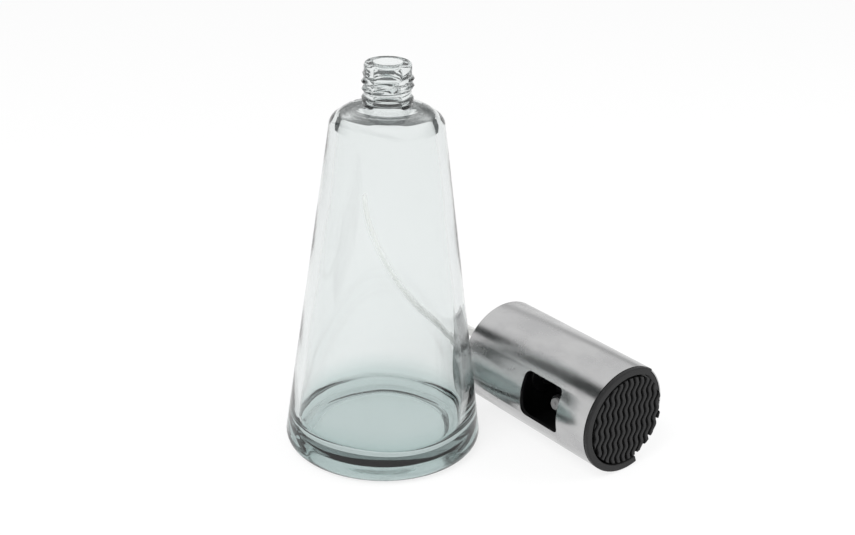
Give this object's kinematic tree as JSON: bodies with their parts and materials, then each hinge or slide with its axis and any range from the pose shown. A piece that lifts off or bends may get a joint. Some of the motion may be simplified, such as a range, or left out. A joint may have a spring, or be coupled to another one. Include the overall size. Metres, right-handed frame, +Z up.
{
  "type": "oil spray bottle",
  "caption": "Cone-shaped clear glass oil bottle standing beside its pump head: a steel sleeve with a spray window, a ribbed push button and a curled dip tube.",
  "frame": {"origin": "on the table, in the middle of the room that the bottle and the head beside it take up together", "axes": "+Z up along the bottle's axis; the head's axis lies along Y, with its button towards -Y"},
  "size_m": [0.1254, 0.194, 0.1601],
  "materials": {
    "glass": "clear pressed glass with a faint blue-green tint",
    "steel": "stainless sheet, brushed round the tube",
    "black_plastic": "fine matte moulded polypropylene",
    "rubber": "soft-touch elastomer",
    "natural_plastic": "undyed polyethylene, milky",
    "white_plastic": "white polypropylene",
    "grey_plastic": "grey moulded plastic",
    "spring_steel": "bright stainless wire and balls"
  },
  "bodies": {
    "bottle": {"bottle": "glass"},
    "head": {"steel_sleeve": "steel", "sleeve_liner": "black_plastic", "top_rim": "black_plastic", "screw_closure": "black_plastic", "neck_gasket": "rubber", "pump_housing": "natural_plastic", "inlet_ball": "spring_steel", "retaining_collar": "black_plastic", "stem_seal": "rubber", "dip_tube": "natural_plastic", "return_spring": "spring_steel"},
    "button": {"push_button": "black_plastic", "button_pad": "rubber", "spray_arm": "black_plastic", "nozzle_insert": "grey_plastic", "swirl_pin": "white_plastic", "pump_stem": "natural_plastic", "outlet_ball": "spring_steel", "piston": "rubber"}
  },
  "joints": [
    {"name": "head_lift", "type": "slide", "parent": "bottle", "child": "head", "axis": [0, 0, 1], "range_m": [0, 0.15]},
    {"name": "button_press", "type": "slide", "parent": "head", "child": "button", "axis": [0, 1, 0], "range_m": [0, 0.006], "stiffness_N_per_m": 500, "springref_m": -0.004, "deforming": ["return_spring"]}
  ]
}
